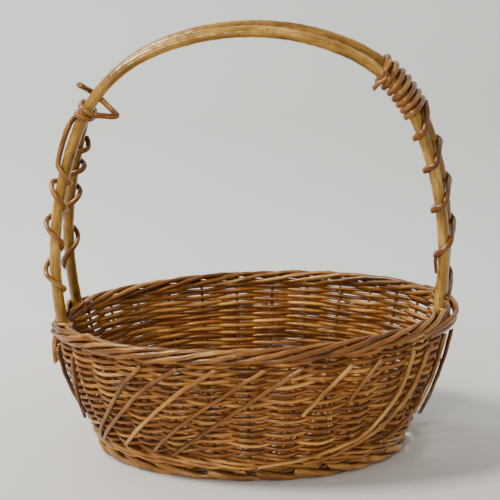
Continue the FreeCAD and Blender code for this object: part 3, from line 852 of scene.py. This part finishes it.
def make_base():
    sticks = base_sticks()
    long_rods, cross_rods, weave = RodSet(sides=14), RodSet(sides=16), RodSet(sides=8)
    for radius, ((end, bend), (far_end, far_bend)) in sticks:
        line = [end, (end + bend) / 2, bend, (bend + far_bend) / 2, far_bend,
                (far_bend + far_end) / 2, far_end]
        rods = long_rods if radius == LONG_RADIUS else cross_rods
        rods.add(line, radius, taper=0.08, wander=0.0002, per_span=8, joint=0)
    long_rods.build("base_long_rods", BASE_WILLOW, "base_willow", ["base_long_sticks"])
    cross_rods.build("base_cross_rods", BASE_WILLOW, "base_willow", ["base_cross_sticks"])
    crossings = [(pair, radius) for radius, pairs in sticks for pair in pairs]
    crossings.sort(key=lambda item: math.atan2(item[0][0][1], item[0][0][0]))
    for ring in range(BASE_RINGS):
        share = (ring + 0.5) / BASE_RINGS
        line = []
        for step, ((end, bend), radius) in enumerate(crossings):
            away = radius + BASE_WEAVER_RADIUS + 0.0003
            side = 1 if (step + ring) % 2 else -1
            line.append(bend + (end - bend) * share + np.array((0, 0, side * away)))
        middle = (line[-1] + line[0]) / 2
        line = [middle * 0.995 + line[0] * 0.005] + line + [middle]
        weave.add(line, BASE_WEAVER_RADIUS, taper=0.15, wander=0.0002, per_span=7)
    weave.build("base_weave", WEAVER_WILLOW, "weaver_willow", ["base_weave_rings"])


# ---------------------------------------------------------------- loose rods outside the wall

# Angle and level in millimetres of each loose rod's bends, from under the rim downwards.
OUTER_FRONT = [
    [(238, 124), (231.5, 104), (220, 66), (206.5, 32)],
    [(249, 124), (239, 103), (224, 63), (209.5, 31)],
    [(260, 124), (250, 102), (236, 65), (222.5, 31)],
    [(273.5, 123), (264, 103), (249, 67), (236, 33)],
    [(284, 123), (274, 102), (257, 62), (243, 30)],
    [(298.5, 121), (291, 97), (285, 75)],
    [(308, 120), (303, 101), (299, 82)],
    [(321.5, 121), (321, 108), (318, 76), (309, 46), (296.5, 33), (283, 25), (272, 20)],
    [(331.5, 119), (329, 109), (326, 79), (320, 60), (311, 42), (298, 27), (288, 21)],
    [(343, 121), (342, 92), (338, 64), (330, 44), (319, 31)],
]
# The rods that stand off the wall at its two ends.
OUTER_ENDS = [
    [(352.5, 119), (350.5, 96), (347, 74), (341, 46)],
    [(199, 121), (199.5, 108), (200.5, 92), (202.5, 74), (205.5, 58)],
    [(210.5, 122), (208, 96), (205.5, 78), (203.5, 60), (202, 50)],
]
# The rods behind, which repeat the slant of the front ones.
OUTER_BACK = [
    [(20, 122), (17, 90), (12, 50)], [(40, 122), (34, 100), (22, 64)],
    [(62, 122), (48, 80), (30, 32)], [(76, 123), (62, 84), (42, 32)],
    [(93, 123), (77, 83), (54, 32)], [(104, 123), (98, 98), (90, 70)],
    [(118, 123), (103, 84), (82, 32)], [(133, 123), (122, 82), (106, 32)],
    [(146, 123), (140, 98), (132, 68)], [(158, 123), (147, 84), (130, 32)],
    [(170, 123), (161, 84), (150, 42)],
]


OUTER_RADIUS, OUTER_END_RADIUS = 0.0021, 0.0020
OUTER_GAP, OUTER_END_GAP = 0.0016, 0.0028
DARK_RODS = 5  # of the front ones, counted from the left
LEFT_TONE, RIGHT_TONE, END_TONE, BACK_TONE = 0.5, 0.72, 0.12, 0.48


def outer_rod(rods, stages, away, radius, tone):
    """A rod that lies against the weaving through its bends."""
    stages = smooth_line([(angle, level / 1000, 0) for angle, level in stages], 4)
    line, facing = wall(stages[:, 0], stages[:, 1], away)
    rods.add(line, radius, taper=0.22, wander=0.0005, tone=tone, per_span=5, facing=facing)


def make_outer_rods():
    away = STAKE_RADIUS + 2 * WEAVER_RADIUS + OUTER_GAP
    front, back = RodSet(sides=14), RodSet(sides=14)
    for number, stages in enumerate(OUTER_FRONT):
        tone = LEFT_TONE if number < DARK_RODS else RIGHT_TONE
        outer_rod(front, stages, away, OUTER_RADIUS, tone)
    for stages in OUTER_ENDS:
        outer_rod(front, stages, away + OUTER_END_GAP, OUTER_END_RADIUS, END_TONE)
    for stages in OUTER_BACK:
        outer_rod(back, stages, away, OUTER_RADIUS, BACK_TONE)
    front.build("outer_front", STAKE_WILLOW, "stake_willow", ["outer_rods_front"])
    back.build("outer_back", STAKE_WILLOW, "stake_willow", ["outer_rods_back"])


# ---------------------------------------------------------------- studio

def make_backdrop():
    """A pale floor that curves up into a wall behind the basket."""
    radius, front, depth, height, half_width = 1.0, -3.0, 3.0, 3.0, 5.0
    bend_steps = 16
    profile = [(front, 0.0)]
    for step in range(bend_steps + 1):
        turn = step / bend_steps * math.pi / 2
        profile.append((depth - radius + radius * math.sin(turn), radius - radius * math.cos(turn)))
    profile.append((depth, height))
    points, faces = [], []
    for y, z in profile:
        points += [(-half_width, y, z), (half_width, y, z)]
    for row in range(len(profile) - 1):
        faces.append((2 * row, 2 * row + 1, 2 * row + 3, 2 * row + 2))
    mesh = bpy.data.meshes.new("backdrop")
    mesh.from_pydata(points, [], faces)
    mesh.polygons.foreach_set("use_smooth", [True] * len(faces))
    mesh.materials.append(backdrop_material())
    stage = bpy.data.objects.new("backdrop", mesh)
    bpy.context.scene.collection.objects.link(stage)


def add_light(name, place, target, size, power, colour=(1, 1, 1)):
    data = bpy.data.lights.new(name, "AREA")
    data.size = size
    data.energy = power
    data.color = colour
    light = bpy.data.objects.new(name, data)
    light.location = place
    light.rotation_euler = (Vector(target) - Vector(place)).to_track_quat("-Z", "Y").to_euler()
    bpy.context.scene.collection.objects.link(light)


def make_studio():
    make_backdrop()
    middle = (0.0, 0.0, 0.15)
    add_light("key", (-1.15, -0.35, 1.8), middle, 0.5, 46, (1.0, 0.98, 0.95))
    add_light("front", (-0.45, -2.1, 1.0), middle, 0.3, 16, (1.0, 0.99, 0.97))
    add_light("backdrop_light", (-1.5, 1.3, 2.2), (-0.6, 3.0, 0.3), 1.0, 38, (1.0, 1.0, 0.98))
    world = bpy.data.worlds.new("studio")
    world.use_nodes = True
    background = world.node_tree.nodes["Background"]
    background.inputs["Color"].default_value = (0.98, 0.98, 0.97, 1)
    background.inputs["Strength"].default_value = 0.55
    bpy.context.scene.world = world


def make_camera():
    """In front of the basket, looking a little down."""
    aside, distance, height, pitch = -0.0017, 1.6, 0.5875, math.radians(13.617)
    data = bpy.data.cameras.new("camera")
    data.sensor_width = 36.0
    data.lens = 119.4408
    camera = bpy.data.objects.new("camera", data)
    camera.location = (aside, -distance, height)
    camera.rotation_euler = (math.pi / 2 - pitch, 0, 0)
    bpy.context.scene.collection.objects.link(camera)
    bpy.context.scene.camera = camera


make_camera()
make_studio()
make_handle()
make_left_knot()
make_left_wraps()
make_right_binding()
make_right_wrap()
make_stakes()
make_wale()
make_weave()
make_borders()
make_base()
make_outer_rods()
